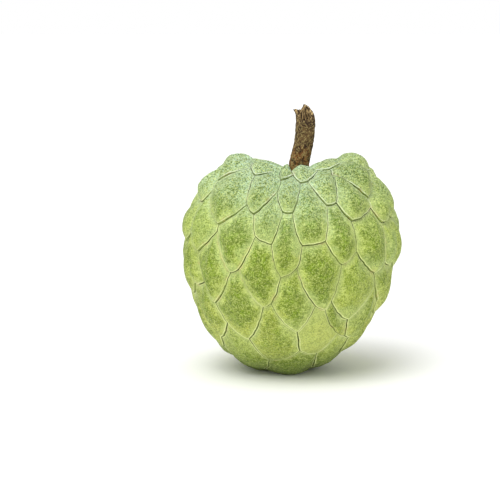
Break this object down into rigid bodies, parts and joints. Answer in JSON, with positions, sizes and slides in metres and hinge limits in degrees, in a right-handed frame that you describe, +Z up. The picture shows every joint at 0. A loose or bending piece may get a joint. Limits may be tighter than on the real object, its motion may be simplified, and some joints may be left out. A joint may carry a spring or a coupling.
{
  "type": "custard apple",
  "caption": "Heart-shaped green custard apple covered in overlapping fleshy scales, with a torn woody stem stump, resting on its underside.",
  "frame": {"origin": "middle of the flat resting spot under the fruit", "axes": "+Z up through the fruit to the stem, -Y towards the front, +X to the right seen from the front"},
  "size_m": [0.0827, 0.0809, 0.1009],
  "materials": {
    "skin": "matt fruit skin, yellow-green with pale seams and a powdery blue-green bloom towards the stem",
    "bark": "rough brown bark with pale flecks, pale torn fibres at the broken end"
  },
  "bodies": {
    "root": {"fruit": "skin", "stem": "bark"}
  },
  "joints": []
}
